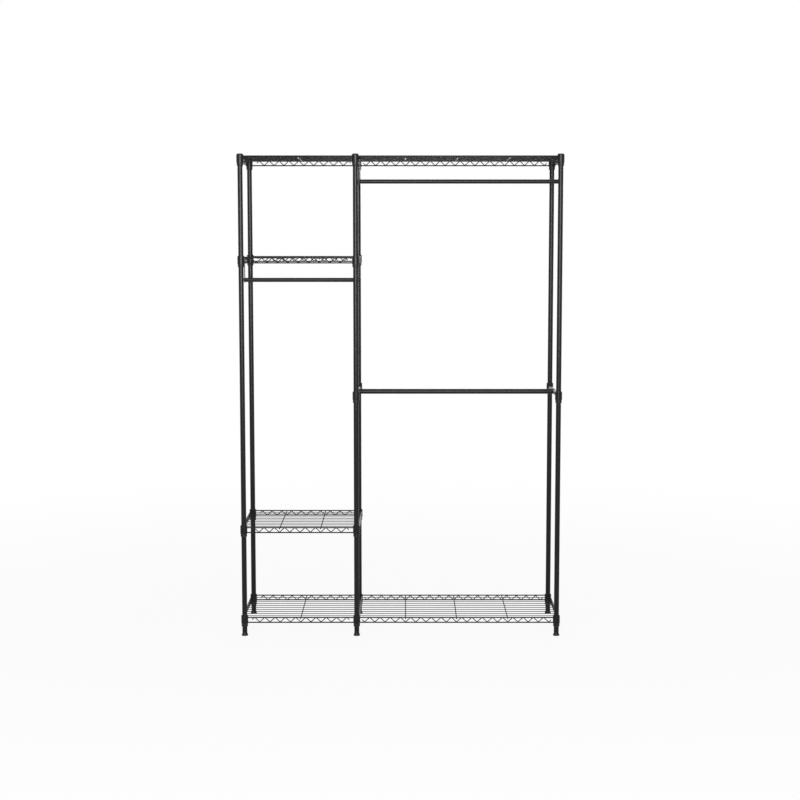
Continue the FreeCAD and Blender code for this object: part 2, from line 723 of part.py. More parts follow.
os.makedirs("parts", exist_ok=True)
for item in nodes:
    item.Shape.exportStep("parts/%s.step" % item.Label)
    print("%-32s %3d solids %12.1f mm3" % (item.Label, len(item.Shape.Solids), item.Shape.Volume))
print("%d nodes" % len(nodes))
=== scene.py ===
import math

import bmesh
import bpy
import numpy as np
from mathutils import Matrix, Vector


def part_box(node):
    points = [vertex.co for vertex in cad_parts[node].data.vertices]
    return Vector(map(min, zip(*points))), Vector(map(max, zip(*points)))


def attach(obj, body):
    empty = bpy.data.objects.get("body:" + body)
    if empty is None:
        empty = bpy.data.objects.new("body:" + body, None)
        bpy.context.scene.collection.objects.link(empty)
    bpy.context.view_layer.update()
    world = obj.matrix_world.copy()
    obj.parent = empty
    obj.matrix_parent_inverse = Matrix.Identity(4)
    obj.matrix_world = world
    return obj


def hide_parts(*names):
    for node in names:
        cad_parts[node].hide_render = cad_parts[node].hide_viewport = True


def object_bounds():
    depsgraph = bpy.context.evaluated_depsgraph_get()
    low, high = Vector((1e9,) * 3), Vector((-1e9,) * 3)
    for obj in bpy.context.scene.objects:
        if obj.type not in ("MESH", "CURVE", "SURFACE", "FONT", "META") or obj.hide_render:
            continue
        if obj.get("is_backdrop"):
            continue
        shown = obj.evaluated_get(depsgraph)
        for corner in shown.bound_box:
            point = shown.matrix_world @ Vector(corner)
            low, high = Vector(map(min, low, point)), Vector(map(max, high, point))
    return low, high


# Open frame wardrobe: black coated posts, wire shelves and clothes rods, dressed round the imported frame.
# Lengths are metres, +Z is up and the front faces -Y.

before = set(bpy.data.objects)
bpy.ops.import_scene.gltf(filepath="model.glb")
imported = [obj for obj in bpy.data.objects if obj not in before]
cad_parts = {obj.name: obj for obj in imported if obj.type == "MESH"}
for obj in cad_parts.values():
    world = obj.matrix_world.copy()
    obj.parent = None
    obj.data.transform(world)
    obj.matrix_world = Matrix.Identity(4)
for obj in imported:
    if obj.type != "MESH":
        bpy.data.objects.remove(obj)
cadLow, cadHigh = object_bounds()
print("frame loaded,", len(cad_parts), "nodes")

rows = ("front", "rear")
shelfColumns = {
    "top": ("left", "mid", "right"),
    "second": ("left", "mid"),
    "third": ("left", "mid"),
    "bottom": ("left", "mid", "right"),
}
railColumns = ("mid", "right")
outward = {"left": -1, "mid": 1, "right": 1}  # side of the posts that a short truss stands on
wires = {"edge": 0.0048, "zigzag": 0.0034, "cross": 0.0040, "deck": 0.0026}  # diameters


def corners(node):
    # a node's lowest and highest corner
    low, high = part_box(node)
    return np.array(low), np.array(high)


# where the frame puts the posts and the levels
postLow, postHigh = corners("post_front_left_lower")
postRadius = (postHigh[0] - postLow[0]) / 2
postTopZ = corners("post_front_left_upper")[1][2]
postSpots = {}
for row in rows:
    for column in shelfColumns["top"]:
        low, high = corners(f"post_{row}_{column}_lower")
        postSpots[row, column] = (low[:2] + high[:2]) / 2
columnX = {column: postSpots["front", column][0] for column in shelfColumns["top"]}
rowY = {row: postSpots[row, "left"][1] for row in rows}
hexCorner = wires["edge"] / math.sqrt(3)  # the frame's edge wires have six sides, corner up
levels = {}
for level in shelfColumns:
    low, high = corners(f"{level}_shelf_long_trusses")
    endLow = corners(f"{level}_shelf_end_trusses")[0]
    collarLow, collarHigh = corners(f"{level}_shelf_collars")
    deckLow, deckHigh = corners(f"{level}_shelf_deck")
    levels[level] = {
        "upperZ": high[2] - hexCorner,
        "lowerZ": low[2] + hexCorner,
        "frontY": low[1] + wires["edge"] / 2,
        "offset": columnX["left"] - endLow[0] - wires["edge"] / 2,
        "collarLow": collarLow[2],
        "collarHigh": collarHigh[2],
        "collarRadius": columnX["left"] - collarLow[0],
        "crossZ": deckLow[2] + wires["cross"] / 2,
        "deckZ": deckHigh[2] - wires["deck"] / 2,
    }


# Mesh tools: a shape is a grid of points, rows by columns, or a stack of copies of one.

def gridFaces(rowCount, columnCount, wrapRows, wrapColumns):
    # each cell of the grid is one quad between neighbouring rows and columns
    r = np.arange(rowCount if wrapRows else rowCount - 1)
    c = np.arange(columnCount if wrapColumns else columnCount - 1)
    a, b = np.meshgrid(r, c, indexing="ij")
    a2, b2 = (a + 1) % rowCount, (b + 1) % columnCount
    quads = [a * columnCount + b, a * columnCount + b2, a2 * columnCount + b2, a2 * columnCount + b]
    return np.stack(quads, -1).reshape(-1, 4)


joinRules = {"merge": 2e-6, "thinnest": 1e-7, "sharp": 38}  # metres, metres and degrees


def piece(name, grids, body, nodes, material, sharp=joinRules["sharp"]):
    # joins grids (points, wrapRows, wrapColumns) into one mesh with poles and seams closed
    allPoints, allFaces, start = [], [], 0
    for points, wrapRows, wrapColumns in grids:
        copies = points.reshape((-1,) + points.shape[-3:])
        count, rowCount, columnCount, _ = copies.shape
        cells = gridFaces(rowCount, columnCount, wrapRows, wrapColumns)
        shifts = start + np.arange(count) * rowCount * columnCount
        allFaces.append((cells[None] + shifts[:, None, None]).reshape(-1, 4))
        allPoints.append(copies.reshape(-1, 3))
        start += count * rowCount * columnCount
    points, faces = np.concatenate(allPoints), np.concatenate(allFaces)
    mesh = bpy.data.meshes.new(name)
    mesh.vertices.add(len(points))
    mesh.vertices.foreach_set("co", points.astype(np.float32).ravel())
    mesh.loops.add(faces.size)
    mesh.loops.foreach_set("vertex_index", faces.astype(np.int32).ravel())
    mesh.polygons.add(len(faces))
    mesh.polygons.foreach_set("loop_start", np.arange(0, faces.size, 4, dtype=np.int32))
    mesh.update(calc_edges=True)
    work = bmesh.new()
    work.from_mesh(mesh)
    bmesh.ops.remove_doubles(work, verts=work.verts, dist=joinRules["merge"])
    bmesh.ops.dissolve_degenerate(work, edges=work.edges, dist=joinRules["thinnest"])
    bmesh.ops.recalc_face_normals(work, faces=work.faces)
    work.to_mesh(mesh)
    work.free()
    mesh.polygons.foreach_set("use_smooth", np.ones(len(mesh.polygons), dtype=bool))
    mesh.set_sharp_from_angle(angle=math.radians(sharp))
    made = bpy.data.objects.new(name, mesh)
    bpy.context.scene.collection.objects.link(made)
    made.data.materials.append(material)
    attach(made, body)
    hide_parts(*nodes)
    return made


bendShape = {"mostShare": 0.42, "holdShare": 0.48, "hold": 1.6}  # shares of a side, and of the bend's reach


def rounded(outline, radius, steps, closed=True):
    # cuts each corner of a flat outline and bridges it with a curve tangent to both sides; a point held
    # just outside each end of the curve keeps the shading of the straight sides flat
    outline = np.asarray(outline, float)
    share = np.linspace(0, 1, steps + 1)[:, None]
    bends = []
    for i, corner in enumerate(outline):
        if not closed and i in (0, len(outline) - 1):
            bends.append(corner[None])
            continue
        sides = np.stack([outline[i - 1], outline[(i + 1) % len(outline)]]) - corner
        lengths = np.linalg.norm(sides, axis=1, keepdims=True)
        reach = min(radius, bendShape["mostShare"] * lengths.min())
        held = np.minimum(reach * bendShape["hold"], bendShape["holdShare"] * lengths)
        holds = corner + sides / lengths * held
        a, b = corner + sides / lengths * reach
        curve = (1 - share) ** 2 * a + 2 * share * (1 - share) * corner + share ** 2 * b
        bends.append(np.concatenate([holds[:1], curve, holds[1:]]))
    return np.concatenate(bends)


def lathe(profile, turns, start=0.0, sweep=2 * math.pi):
    # radius and height of each profile point, carried round the Z axis
    profile = np.asarray(profile, float)
    whole = sweep >= 2 * math.pi
    angle = start + np.linspace(0, sweep, turns, endpoint=not whole)
    r, z = profile[:, :1], profile[:, 1:]
    return np.stack([r * np.cos(angle), r * np.sin(angle), z + 0 * angle], -1)


def alongX(points):
    # turns a shape made round Z so that its height runs along X
    return points[..., [2, 0, 1]]


def copied(points, places):
    # one copy of the grid for each place
    return points[None] + np.asarray(places, float)[:, None, None, :]


# a wire's end, in shares of its radius: how far in each ring lies and how wide it is; blunt is the last
# ring of a bent wire, and steep the rise past which a wire counts as upright
wireEnd = {"insets": (0, 0, 0.12, 0.35, 1.2), "widths": (0, 0.62, 0.9, 1.0, 1.0),
           "blunt": 0.7, "steep": 0.9}


def roundWires(starts, ends, diameter, sides):
    # straight round wires: rings square to the wire, rolled over at each end and closed to a point
    starts, ends = np.asarray(starts, float), np.asarray(ends, float)
    along = ends - starts
    length = np.linalg.norm(along, axis=1, keepdims=True)
    along = along / length
    steep = np.abs(along[:, 2:]) > wireEnd["steep"]
    side = np.cross(along, np.where(steep, [[1.0, 0, 0]], [[0, 0, 1.0]]))
    side /= np.linalg.norm(side, axis=1, keepdims=True)
    other = np.cross(along, side)
    radius = diameter / 2
    inset = np.array(wireEnd["insets"]) * radius
    scale = np.array(wireEnd["widths"]) * radius
    runs = np.concatenate([np.broadcast_to(inset, (len(starts), len(inset))), length - inset[::-1]], axis=1)
    scale = np.concatenate([scale, scale[::-1]])
    angle = np.linspace(0, 2 * math.pi, sides, endpoint=False)
    ring = np.cos(angle)[None, :, None] * side[:, None] + np.sin(angle)[None, :, None] * other[:, None]
    line = starts[:, None] + runs[:, :, None] * along[:, None]
    return line[:, :, None] + scale[None, :, None, None] * ring[:, None]


def flatPipe(path, plane, diameter, sides):
    # a circle carried along a path that stays in one plane, closed to a point at both ends
    path, plane = np.asarray(path, float), np.asarray(plane, float)
    path = np.concatenate([path[:1], path[:1], path, path[-1:], path[-1:]])
    scale = np.ones(len(path))
    scale[[0, 1, -2, -1]] = 0, wireEnd["blunt"], wireEnd["blunt"], 0
    along = np.gradient(path[2:-2], axis=0)
    along = np.concatenate([along[:1], along[:1], along, along[-1:], along[-1:]])
    along /= np.linalg.norm(along, axis=1, keepdims=True)
    across = np.cross(plane, along)
    angle = np.linspace(0, 2 * math.pi, sides, endpoint=False)
    ring = np.cos(angle)[:, None] * across[:, None] + np.sin(angle)[:, None] * plane
    return path[:, None] + (scale * diameter / 2)[:, None, None] * ring


def beads(places, size, stacks=5, sides=8):
    # small weld beads: an ellipsoid of the given half sizes at each place
    polar = np.linspace(0, math.pi, stacks)[:, None]
    angle = np.linspace(0, 2 * math.pi, sides, endpoint=False)[None]
    unit = np.stack([np.sin(polar) * np.cos(angle), np.sin(polar) * np.sin(angle),
                     np.cos(polar) + 0 * angle], -1)
    return copied(unit * np.asarray(size), places)


# Finishes: groups give grain and tone, and each material keeps its own shader.

def addNode(tree, kind, place, **settings):
    # settings that begin with in_ are values of the node's input sockets
    made = tree.nodes.new(kind)
    made.location = place
    for key, value in settings.items():
        if key.startswith("in_"):
            made.inputs[key[3:].replace("_", " ")].default_value = value
        else:
            setattr(made, key, value)
    return made


def newGroup(name, inputs, outputs):
    # an empty group with number sockets, and its two end nodes
    tree = bpy.data.node_groups.new(name, "ShaderNodeTree")
    for label, value in inputs.items():
        socket = tree.interface.new_socket(label, in_out="INPUT", socket_type="NodeSocketFloat")
        socket.default_value = value
    for label in outputs:
        tree.interface.new_socket(label, in_out="OUTPUT", socket_type="NodeSocketFloat")
    return tree, addNode(tree, "NodeGroupInput", (-900, 0)), addNode(tree, "NodeGroupOutput", (500, 0))


grainLook = {"pebbles": 900.0, "pebbleDetail": 3.0, "pebbleRough": 0.55, "drift": 6.0, "driftDetail": 4.0,
             "driftRough": 0.6, "speckRim": 0.10, "speckCore": 0.02}


def coatGrainGroup():
    # fine pebbled skin of a baked coating, a slow drift of tone, and sparse lighter specks
    look = grainLook
    inputs = {"Pebbles": look["pebbles"], "Drift": look["drift"]}
    tree, given, result = newGroup("coatGrain", inputs, ("Height", "Tone", "Specks"))
    spot = addNode(tree, "ShaderNodeTexCoord", (-900, -250))
    pebble = addNode(tree, "ShaderNodeTexNoise", (-600, 200), in_Detail=look["pebbleDetail"],
                     in_Roughness=look["pebbleRough"])
    drift = addNode(tree, "ShaderNodeTexNoise", (-600, -60), in_Detail=look["driftDetail"],
                    in_Roughness=look["driftRough"])
    fleck = addNode(tree, "ShaderNodeTexVoronoi", (-600, -320), feature="F1")
    limit = addNode(tree, "ShaderNodeMapRange", (-250, -320), in_From_Min=look["speckRim"],
                    in_From_Max=look["speckCore"])
    link = tree.links.new
    for texture, source in ((pebble, "Pebbles"), (drift, "Drift"), (fleck, "Pebbles")):
        link(spot.outputs["Object"], texture.inputs["Vector"])
        link(given.outputs[source], texture.inputs["Scale"])
    link(fleck.outputs["Distance"], limit.inputs["Value"])
    link(pebble.outputs["Fac"], result.inputs["Height"])
    link(drift.outputs["Fac"], result.inputs["Tone"])
    link(limit.outputs["Result"], result.inputs["Specks"])
    return tree


streakLook = {"fineness": 500.0, "stretch": 0.012, "detail": 2.0, "rough": 0.7, "faint": 0.54, "full": 0.72}


def streakGroup():
    # long thin streaks along X, as hanger hooks leave when they slide
    look = streakLook
    inputs = {"Fineness": look["fineness"], "Stretch": look["stretch"]}
    tree, given, result = newGroup("slideStreaks", inputs, ("Streaks",))
    spot = addNode(tree, "ShaderNodeTexCoord", (-900, -250))
    squeeze = addNode(tree, "ShaderNodeCombineXYZ", (-700, -60), in_Y=1.0, in_Z=1.0)
    stretched = addNode(tree, "ShaderNodeVectorMath", (-500, -160), operation="MULTIPLY")
    scratch = addNode(tree, "ShaderNodeTexNoise", (-300, 0), in_Detail=look["detail"],
                      in_Roughness=look["rough"])
    limit = addNode(tree, "ShaderNodeMapRange", (-50, 0), in_From_Min=look["faint"],
                    in_From_Max=look["full"])
    link = tree.links.new
    link(given.outputs["Stretch"], squeeze.inputs["X"])
    link(spot.outputs["Object"], stretched.inputs[0])
    link(squeeze.outputs["Vector"], stretched.inputs[1])
    link(stretched.outputs["Vector"], scratch.inputs["Vector"])
    link(given.outputs["Fineness"], scratch.inputs["Scale"])
    link(scratch.outputs["Fac"], limit.inputs["Value"])
    link(limit.outputs["Result"], result.inputs["Streaks"])
    return tree


coatGrain = coatGrainGroup()
slideStreaks = streakGroup()


def ramp(tree, source, low, high, place):
    # carries a 0 to 1 value onto a range between two numbers
    made = addNode(tree, "ShaderNodeMapRange", place, in_To_Min=low, in_To_Max=high)
    tree.links.new(source, made.inputs["Value"])
    return made.outputs["Result"]


mixSockets = {"share": 0, "under": 6, "over": 7, "result": 2}  # places of a mix node's colour sockets


def tint(tree, share, under, over, place):
    # lays one colour over another by a share from 0 to 1; the one under is a colour or a node's output
    made = addNode(tree, "ShaderNodeMix", place, data_type="RGBA")
    if isinstance(under, tuple):
        made.inputs[mixSockets["under"]].default_value = (*under, 1)
    else:
        tree.links.new(under, made.inputs[mixSockets["under"]])
    made.inputs[mixSockets["over"]].default_value = (*over, 1)
    tree.links.new(share, made.inputs[mixSockets["share"]])
    return made.outputs[mixSockets["result"]]


def finish(name, look, streaks=False):
    # the grain's tone sets colour and gloss, its pebbles dent the skin, and specks and streaks lie over
    # the colour
    material = bpy.data.materials.new(name)
    material.use_nodes = True
    tree = material.node_tree
    tree.nodes.clear()
    link = tree.links.new
    surface = addNode(tree, "ShaderNodeBsdfPrincipled", (300, 0))
    out = addNode(tree, "ShaderNodeOutputMaterial", (620, 0))
    link(surface.outputs["BSDF"], out.inputs["Surface"])
    grain = addNode(tree, "ShaderNodeGroup", (-700, 0), node_tree=coatGrain)
    grain.inputs["Pebbles"].default_value = look["pebbles"]
    grain.inputs["Drift"].default_value = look["drift"]
    colour = tint(tree, grain.outputs["Tone"], look["dark"], look["light"], (-350, 250))
    rough = ramp(tree, grain.outputs["Tone"], look["roughLow"], look["roughHigh"], (-350, 0))
    fleckShare = ramp(tree, grain.outputs["Specks"], 0.0, look["fleckShare"], (-350, 480))
    colour = tint(tree, fleckShare, colour, look["fleck"], (-120, 320))
    if streaks:
        rub = addNode(tree, "ShaderNodeGroup", (-700, -350), node_tree=slideStreaks)
        share = ramp(tree, rub.outputs["Streaks"], 0.0, look["rubShare"], (-350, -350))
        colour = tint(tree, share, colour, look["rubbed"], (60, 320))
        polish = addNode(tree, "ShaderNodeMath", (-120, -60), operation="MULTIPLY_ADD")
        polish.inputs[1].default_value = -look["polish"]
        link(rub.outputs["Streaks"], polish.inputs[0])
        link(rough, polish.inputs[2])
        rough = polish.outputs[0]
    link(colour, surface.inputs["Base Color"])
    link(rough, surface.inputs["Roughness"])
    bump = addNode(tree, "ShaderNodeBump", (60, -300), in_Distance=look["depth"], in_Strength=look["bump"])
    link(grain.outputs["Height"], bump.inputs["Height"])
    link(bump.outputs["Normal"], surface.inputs["Normal"])
    surface.inputs["Metallic"].default_value = look.get("metallic", 0.0)
    surface.inputs["Specular IOR Level"].default_value = look.get("specular", 0.5)
    return material


coatLook = {
    "dark": (0.008, 0.008, 0.0084), "light": (0.013, 0.013, 0.0134), "fleck": (0.05, 0.05, 0.05),
    "fleckShare": 0.1, "pebbles": 850.0, "drift": 7.0, "roughLow": 0.21, "roughHigh": 0.28,
    "bump": 0.1, "depth": 0.0003, "specular": 0.14,
    "rubbed": (0.040, 0.039, 0.038), "rubShare": 0.35, "polish": 0.06,
}
plasticLook = {
    "dark": (0.007, 0.007, 0.0074), "light": (0.012, 0.012, 0.0124), "fleck": (0.03, 0.03, 0.03),
    "fleckShare": 0.3, "pebbles": 2200.0, "drift": 18.0, "roughLow": 0.36, "roughHigh": 0.46,
    "bump": 0.2, "depth": 0.0002, "specular": 0.18,
}
zincLook = {
    "dark": (0.44, 0.44, 0.43), "light": (0.62, 0.62, 0.60), "fleck": (0.75, 0.75, 0.72),
    "fleckShare": 0.3, "pebbles": 1400.0, "drift": 90.0, "roughLow": 0.28, "roughHigh": 0.46,
    "bump": 0.2, "depth": 0.0002, "metallic": 1.0,
}
tubeCoat = finish("tubeCoat", coatLook)
rodCoat = finish("rodCoat", dict(coatLook, roughLow=0.34, roughHigh=0.42), streaks=True)
wireCoat = finish("wireCoat", dict(coatLook, pebbles=1300.0, drift=24.0, roughLow=0.12, roughHigh=0.17,
                                   specular=0.11))
sleevePlastic = finish("sleevePlastic", plasticLook)
footPlastic = finish("footPlastic", dict(plasticLook, pebbles=1600.0, roughLow=0.42, roughHigh=0.54))
zincPlate = finish("zincPlate", zincLook)
print("finishes made")


# Posts and what is in them

postShape = {"wall": 0.001, "edge": 0.0006, "turns": 56}


def tubeProfile(radius, wall, low, high, edge):
    # wall section of a tube with softened ends, as a closed ring of radius and height
    bore = radius - wall
    return rounded([(radius, low), (radius, high), (bore, high), (bore, low)], edge, steps=3)


def makePosts():
    for row in rows:
        for column in shelfColumns["top"]:
            x, y = postSpots[row, column]
            for part in ("lower", "upper"):
                node = f"post_{row}_{column}_{part}"
                low, high = corners(node)
                section = tubeProfile(postRadius, postShape["wall"], low[2], high[2], postShape["edge"])
                tube = lathe(section, postShape["turns"]) + (x, y, 0)
                piece(f"tube_{row}_{column}_{part}", [(tube, True, True)],
                      "frame", [node], tubeCoat)


capShape = {"edge": 0.0005, "lip": 0.0008, "fit": 0.0001, "turns": 48, "steps": 14}


def makeCaps():
    low, high = corners("post_caps")
    rise, lip = high[2] - postTopZ, capShape["lip"]
    rim = columnX["left"] - low[0]
    bore = postRadius - postShape["wall"] - capShape["fit"]
    skirt = low[2] - postTopZ
    # a plug in the tube, a rim over the tube's end, and a dome that falls with the square of the radius
    share = np.linspace(1, 0, capShape["steps"])
    dome = np.stack([rim * share, lip + (rise - lip) * (1 - share ** 2)], 1)
    brim = rounded([(bore, skirt), (bore, 0), (rim, 0), dome[0], dome[1]],
                   capShape["edge"], steps=3, closed=False)
    profile = np.concatenate([[(0, skirt)], brim, dome[2:]])
    places = [(*spot, postTopZ) for spot in postSpots.values()]
    piece("domed_caps", [(copied(lathe(profile, capShape["turns"]), places), False, True)],
          "frame", ["post_caps"], sleevePlastic)


footShape = {"rim": 0.0030, "edge": 0.0011, "neck": 0.0008, "turns": 48, "steps": 12, "flare": 2.1,
             "threadPitch": 0.00125, "threadDepth": 0.0007, "threadSteps": 6, "threadSides": 20,
             "threadTip": 0.8, "threadSharp": 25}


def footProfile(low, high):
    # a bell: straight rim, then a radius that falls off as a power of the height left
    base, crown = (high[0] - low[0]) / 2, high[2]
    neck = postRadius - footShape["neck"] / 2
    share = np.linspace(0, 1, footShape["steps"])
    flare = np.stack([neck + (base - neck) * (1 - share) ** footShape["flare"],
                      footShape["rim"] + (crown - footShape["rim"] - footShape["edge"] / 2) * share], 1)
    floor = rounded([(0, low[2]), (base, low[2]), (base, footShape["rim"])],
                    footShape["edge"], steps=4, closed=False)
    top = [(neck - footShape["edge"] / 2, crown), (0, crown)]
    return np.concatenate([floor[:-1], flare, top])


def threadedStud(radius, low, high):
    # radius dips by a triangle wave that climbs one pitch for each turn
    shape = footShape
    count = int((high - low) / shape["threadPitch"] * shape["threadSteps"])
    z = np.linspace(low, high, count)[:, None]
    angle = np.linspace(0, 2 * math.pi, shape["threadSides"], endpoint=False)[None]
    phase = (z / shape["threadPitch"] - angle / (2 * math.pi)) % 1.0
    r = radius - shape["threadDepth"] * np.abs(2 * phase - 1)
    r[[0, -1]] = 0
    r[[1, -2]] *= shape["threadTip"]
    return np.stack([r * np.cos(angle), r * np.sin(angle), z + 0 * angle], -1)


def makeFeet():
    for row in rows:
        for column in shelfColumns["top"]:
            x, y = postSpots[row, column]
            body = f"foot_{row}_{column}"
            low, high = corners(f"foot_pad_{row}_{column}")
            bell = lathe(footProfile(low, high), footShape["turns"]) + (x, y, 0)
            piece(f"bell_foot_{row}_{column}", [(bell, False, True)],
                  body, [f"foot_pad_{row}_{column}"], footPlastic)
            low, high = corners(f"foot_stud_{row}_{column}")
            stud = threadedStud((high[0] - low[0]) / 2, low[2], high[2]) + (x, y, 0)
            piece(f"thread_stud_{row}_{column}", [(stud, False, True)],
                  body, [f"foot_stud_{row}_{column}"], zincPlate, footShape["threadSharp"])


# what is hidden inside the posts keeps its solids and is zinc plated
for hidden in ("post_joint_plugs", "foot_bushes"):
    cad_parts[hidden].data.materials.clear()
    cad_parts[hidden].data.materials.append(zincPlate)
makePosts()
makeCaps()
makeFeet()
print("posts, caps and feet made")


# Collars and the split sleeves they wedge on

collarShape = {"wallTop": 0.0019, "wallLow": 0.0011, "edge": 0.0007, "turns": 56}
sleeveShape = {"clear": 0.0001, "topWall": 0.0015, "lowWall": 0.0023, "rim": 0.0001, "lip": 0.0004,
               "lipHeight": 0.0020, "lipFade": 1.25, "edge": 0.0005, "arc": 176.0, "turns": 30}


def collarRing(radius, low, high):
    # wall of a collar: straight outside, bore tapering with the sleeve, rims rolled over
    return rounded([(radius, low), (radius, high), (radius - collarShape["wallTop"], high),
                    (radius - collarShape["wallLow"], low)], collarShape["edge"], steps=4)


def sleeveHalves(low, high, collarLow, collarHigh):
    # matched inner and outer lines of the wall, carried round just under half a turn
    shape = sleeveShape
    bore = postRadius + shape["clear"]
    waist, crest = bore + shape["lowWall"], bore + shape["topWall"]
    rim, lip = bore + shape["rim"], waist + shape["lip"]
    lipTop, lipEnd = low + shape["lipHeight"], low + shape["lipHeight"] * shape["lipFade"]
    outer = rounded([(rim, low), (lip, low), (lip, lipTop), (waist, lipEnd), (waist, collarLow),
                     (crest, collarHigh), (crest, high), (rim, high)], shape["edge"], steps=3, closed=False)
    inner = np.stack([np.full(len(outer), bore), outer[:, 1]], 1)
    ring = np.concatenate([outer, inner[::-1]])
    sweep = math.radians(shape["arc"])
    wall = np.stack([outer, inner], 1)
    r, z = wall[..., 0], wall[..., 1]
    halves = []
    for facing in (90, 270):  # degrees, to the rear and to the front
        start = math.radians(facing) - sweep / 2
        halves.append((lathe(ring, shape["turns"], start, sweep), True, False))
        for angle in (start, start + sweep):  # the two flat faces at the split
            halves.append((np.stack([r * math.cos(angle), r * math.sin(angle), z], -1), False, False))
    return halves


def makeSleeves(level, columns, collarLow, collarHigh):
    low, high = corners(f"{level}_sleeves")
    places = [(*postSpots[row, column], 0) for row in rows for column in columns]
    halves = sleeveHalves(low[2], high[2], collarLow, collarHigh)
    piece(f"{level}_split_sleeves", [(copied(points, places), a, b) for points, a, b in halves],
          "frame", [f"{level}_sleeves"], sleevePlastic)


def makeCollars(level):
    facts = levels[level]
    places = [(*postSpots[row, column], 0) for row in rows for column in shelfColumns[level]]
    section = collarRing(facts["collarRadius"], facts["collarLow"], facts["collarHigh"])
    ring = lathe(section, collarShape["turns"])
    piece(f"{level}_collars", [(copied(ring, places), True, True)],
          "frame", [f"{level}_shelf_collars"], tubeCoat)
    makeSleeves(level, shelfColumns[level], facts["collarLow"], facts["collarHigh"])


# Wire shelves

trussShape = {"pitch": 0.0385, "margin": 0.026, "stubShare": 0.5, "seat": 0.0014, "endSeat": 0.0040,
              "bendSharpness": 0.975, "stepsPerPitch": 20, "edgeSides": 18, "zigzagSides": 10,
              "weldSink": 0.0003, "bead": 0.0019, "beadIn": 0.55,
              "longBead": (1.5, 1.0, 0.8), "endBead": (0.8, 1.5, 0.7)}  # shares of a bead along X, Y and Z
deckShape = {"count": 10, "sides": 10, "crossSides": 14, "sink": 0.0002, "pairParts": 6, "tripleParts": 4,
             "bead": 0.0017, "deckBead": (1.0, 0.9, 0.55), "crossBead": (1.3, 1.4, 0.6)}


def edgeWire(axis, line, low, high, z, postLine, collarRadius):
    # a round wire along X or Y whose ends follow the curve of the collars that it is welded to
    radius = wires["edge"] / 2
    angle = np.linspace(0, 2 * math.pi, trussShape["edgeSides"], endpoint=False)
    across, height = line + radius * np.cos(angle), z + radius * np.sin(angle)
    reach = np.sqrt(collarRadius ** 2 - (across - postLine) ** 2) - trussShape["weldSink"]
    middle = math.sqrt(collarRadius ** 2 - (line - postLine) ** 2) - trussShape["weldSink"]
    alongRows = np.stack([0 * angle + low + middle, low + reach, high - reach, 0 * angle + high - middle])
    acrossRows = np.stack([0 * angle + line, across, across, 0 * angle + line])
    heightRows = np.stack([0 * angle + z, height, height, 0 * angle + z])
    order = (alongRows, acrossRows, heightRows) if axis == "x" else (acrossRows, alongRows, heightRows)
    return np.stack(order, -1)


def bendCount(span):
    # whole pitches of the zigzag that fit between two posts, clear of their collars
    return int((span - 2 * trussShape["margin"]) // trussShape["pitch"])


def zigzagLine(span, lowZ, highZ, highFirst):
    # height swings as arcsin(k cos) / arcsin(k): straight legs with a small radius at each bend
    shape = trussShape
    half = shape["pitch"] / 2
    count = bendCount(span)
    reach = (count + shape["stubShare"]) * half
    run = np.linspace(-reach, reach, int(2 * reach / shape["pitch"] * shape["stepsPerPitch"]) + 1)
    wave = np.cos(math.pi * (run + count * half) / half) * (1 if highFirst else -1)
    k = shape["bendSharpness"]
    z = (lowZ + highZ) / 2 + (highZ - lowZ) / 2 * np.arcsin(k * wave) / math.asin(k)
    bends = (np.arange(2 * count + 1) - count) * half
    high = (np.arange(2 * count + 1) % 2 == 0) == highFirst
    return run, z, bends, np.where(high, highZ, lowZ)


def makeTrusses(level):
    facts = levels[level]
    columns = shelfColumns[level]
    heights = (facts["upperZ"], facts["lowerZ"])
    radius, bead = facts["collarRadius"], trussShape["bead"]
    gap = (wires["edge"] + wires["zigzag"]) / 2 - trussShape["weldSink"]
    grids, welds = [], []
    for row, side in (("front", 1), ("rear", -1)):
        line = facts["frontY"] * side
        for start, end in zip(columns[:-1], columns[1:]):
            low, high = columnX[start], columnX[end]
            grids += [(edgeWire("x", line, low, high, z, rowY[row], radius), False, True) for z in heights]
            span, seat = high - low, trussShape["seat"]
            highFirst = bendCount(span) % 2 == 1  # so the bend in the middle is a low one
            run, z, bends, bendZ = zigzagLine(span, heights[1] + seat, heights[0] - seat, highFirst)
            inner = line + side * gap
            middle = (low + high) / 2
            path = np.stack([middle + run, 0 * run + inner, z], 1)
            zigzag = flatPipe(path, (0, 1, 0), wires["zigzag"], trussShape["zigzagSides"])
            grids.append((zigzag, False, True))
            weldY = line + side * gap * trussShape["beadIn"]
            welds.append(np.stack([middle + bends, 0 * bends + weldY, bendZ], 1))
    grids.append((beads(np.concatenate(welds), bead * np.array(trussShape["longBead"])), False, True))
    piece(f"{level}_long_trusses", grids, "frame", [f"{level}_shelf_long_trusses"], wireCoat)

    grids, welds = [], []
    for column in columns:
        line = columnX[column] + facts["offset"] * outward[column]
        low, high = rowY["front"], rowY["rear"]
        postX, seat = columnX[column], trussShape["endSeat"]
        grids += [(edgeWire("y", line, low, high, z, postX, radius), False, True) for z in heights]
        run, z, bends, bendZ = zigzagLine(high - low, heights[1] + seat, heights[0] - seat, True)
        path = np.stack([0 * run + line, run, z], 1)
        zigzag = flatPipe(path, (1, 0, 0), wires["zigzag"], trussShape["zigzagSides"])
        grids.append((zigzag, False, True))
        lift = np.where(bendZ > (heights[0] + heights[1]) / 2, 1, -1) * bead
        welds.append(np.stack([0 * bends + line, bends, bendZ + lift], 1))
    grids.append((beads(np.concatenate(welds), bead * np.array(trussShape["endBead"])), False, True))
    piece(f"{level}_end_trusses", grids, "frame", [f"{level}_shelf_end_trusses"], wireCoat)


